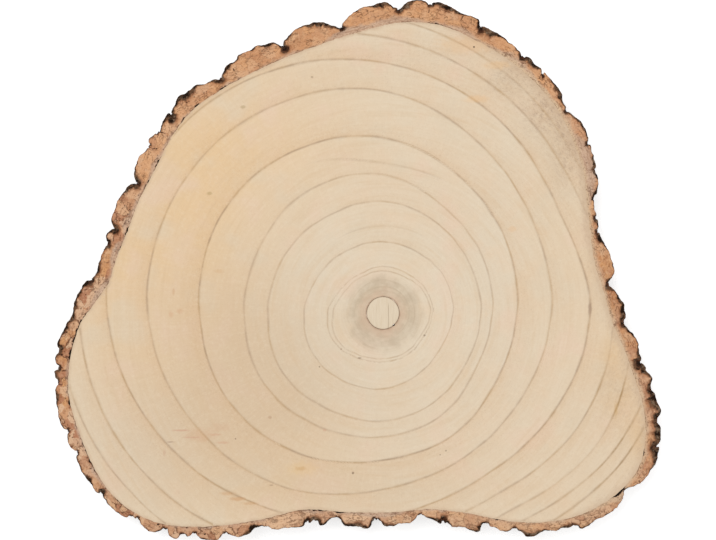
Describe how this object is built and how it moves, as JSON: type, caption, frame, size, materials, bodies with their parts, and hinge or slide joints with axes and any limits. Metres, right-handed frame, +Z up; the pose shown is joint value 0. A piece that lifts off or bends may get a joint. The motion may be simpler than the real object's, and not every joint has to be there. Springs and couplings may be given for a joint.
{
  "type": "paulownia trunk slice with bark",
  "caption": "Flat slice sawn across a paulownia trunk: pale wood with growth rings, a round plug in the pith, and a rim of fissured brown bark.",
  "frame": {"origin": "middle of the slice's footprint box, on its lower sawn face", "axes": "+Z up along the trunk, out of the upper sawn face; +X along the slice's widest box side, from the broad lobe at the left of the picture to the one at its right; +Y towards the picture's top"},
  "size_m": [0.3044, 0.272, 0.028],
  "materials": {
    "wood": "sawn and sanded end grain, bare and matte",
    "bark": "rough bark, terracotta brown where sawn and blackish grey brown on its outside",
    "pith_plug": "sanded wood, bare and matte"
  },
  "bodies": {
    "root": {"wood": "wood", "bark": "bark", "pith_plug": "pith_plug"}
  },
  "joints": []
}
